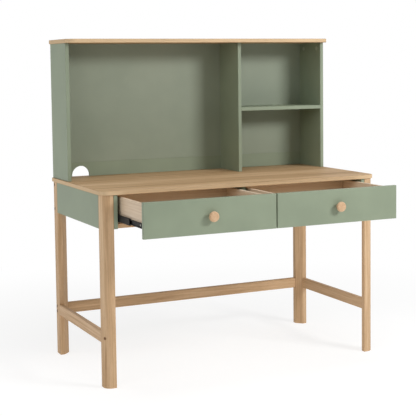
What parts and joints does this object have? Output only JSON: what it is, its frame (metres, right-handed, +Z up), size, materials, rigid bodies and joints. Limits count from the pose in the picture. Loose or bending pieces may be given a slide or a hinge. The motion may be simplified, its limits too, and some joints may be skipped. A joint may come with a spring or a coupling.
{
  "type": "desk with hutch",
  "caption": "Student desk with drawers on telescopic slides and an open hutch with divider, shelf and cable notch.",
  "frame": {"origin": "on the floor, under the middle of the whole object with both drawers pulled part way out", "axes": "+Z up, +Y away from the user towards the wall, +X to the right of a person who sits at the desk"},
  "size_m": [1.2, 0.87, 1.31],
  "materials": {
    "ball_steel": "polished steel balls and strip",
    "box_wood": "pale plain drawer-box board",
    "cap_plastic": "matt plastic",
    "dowel_wood": "plain beech, unfinished",
    "knob_wood": "turned wood, satin",
    "oak_laminate": "matt oak-grain laminate board",
    "oak_solid": "clear-lacquered solid wood, oak tone",
    "sage_paint": "sage-green satin paint on board",
    "slide_black": "black electro-coated rolled steel",
    "zinc_steel": "zinc-plated steel"
  },
  "bodies": {
    "frame": {"back_apron": "sage_paint", "back_stretcher": "oak_solid", "barrel_nuts": "zinc_steel", "cam_lock_caps": "cap_plastic", "cam_locks": "zinc_steel", "cam_pins": "zinc_steel", "case_slide_screws": "zinc_steel", "dowels": "dowel_wood", "drawer_case_left_side": "sage_paint", "drawer_case_partition": "sage_paint", "drawer_case_rail": "oak_solid", "drawer_case_right_side": "sage_paint", "frame_bolts": "zinc_steel", "front_left_leg": "oak_solid", "front_right_leg": "oak_solid", "hutch_back_panel": "sage_paint", "hutch_back_rail": "sage_paint", "hutch_divider": "sage_paint", "hutch_left_side": "sage_paint", "hutch_right_side": "sage_paint", "hutch_shelf": "sage_paint", "hutch_top": "oak_laminate", "left_apron": "sage_paint", "left_drawer_inner_slide_case_member": "slide_black", "left_drawer_outer_slide_case_member": "slide_black", "left_stretcher": "oak_solid", "rear_left_leg": "oak_solid", "rear_right_leg": "oak_solid", "right_apron": "sage_paint", "right_drawer_inner_slide_case_member": "slide_black", "right_drawer_outer_slide_case_member": "slide_black", "right_stretcher": "oak_solid", "worktop": "oak_laminate"},
    "left_drawer": {"left_drawer_back": "box_wood", "left_drawer_bottom": "box_wood", "left_drawer_front": "sage_paint", "left_drawer_inner_side": "box_wood", "left_drawer_inner_slide_drawer_member": "slide_black", "left_drawer_knob": "knob_wood", "left_drawer_outer_side": "box_wood", "left_drawer_outer_slide_drawer_member": "slide_black", "left_drawer_screws": "zinc_steel"},
    "left_drawer_inner_middle_member": {"left_drawer_inner_slide_ball_retainers": "ball_steel", "left_drawer_inner_slide_middle_member": "slide_black"},
    "left_drawer_outer_middle_member": {"left_drawer_outer_slide_ball_retainers": "ball_steel", "left_drawer_outer_slide_middle_member": "slide_black"},
    "right_drawer": {"right_drawer_back": "box_wood", "right_drawer_bottom": "box_wood", "right_drawer_front": "sage_paint", "right_drawer_inner_side": "box_wood", "right_drawer_inner_slide_drawer_member": "slide_black", "right_drawer_knob": "knob_wood", "right_drawer_outer_side": "box_wood", "right_drawer_outer_slide_drawer_member": "slide_black", "right_drawer_screws": "zinc_steel"},
    "right_drawer_inner_middle_member": {"right_drawer_inner_slide_ball_retainers": "ball_steel", "right_drawer_inner_slide_middle_member": "slide_black"},
    "right_drawer_outer_middle_member": {"right_drawer_outer_slide_ball_retainers": "ball_steel", "right_drawer_outer_slide_middle_member": "slide_black"}
  },
  "joints": [
    {"name": "left_drawer_slide", "type": "slide", "parent": "frame", "child": "left_drawer", "axis": [0, -1, 0], "range_m": [-0.25, 0.1]},
    {"name": "left_drawer_outer_middle_member_slide", "type": "slide", "parent": "frame", "child": "left_drawer_outer_middle_member", "axis": [0, -1, 0], "range_m": [-0.125, 0.05]},
    {"name": "left_drawer_inner_middle_member_slide", "type": "slide", "parent": "frame", "child": "left_drawer_inner_middle_member", "axis": [0, -1, 0], "range_m": [-0.125, 0.05]},
    {"name": "right_drawer_slide", "type": "slide", "parent": "frame", "child": "right_drawer", "axis": [0, -1, 0], "range_m": [-0.25, 0.1]},
    {"name": "right_drawer_outer_middle_member_slide", "type": "slide", "parent": "frame", "child": "right_drawer_outer_middle_member", "axis": [0, -1, 0], "range_m": [-0.125, 0.05]},
    {"name": "right_drawer_inner_middle_member_slide", "type": "slide", "parent": "frame", "child": "right_drawer_inner_middle_member", "axis": [0, -1, 0], "range_m": [-0.125, 0.05]}
  ],
  "couplings": [
    {"joint": "left_drawer_outer_middle_member_slide", "follows": "left_drawer_slide", "ratio": 0.5},
    {"joint": "left_drawer_inner_middle_member_slide", "follows": "left_drawer_slide", "ratio": 0.5},
    {"joint": "right_drawer_outer_middle_member_slide", "follows": "right_drawer_slide", "ratio": 0.5},
    {"joint": "right_drawer_inner_middle_member_slide", "follows": "right_drawer_slide", "ratio": 0.5}
  ]
}
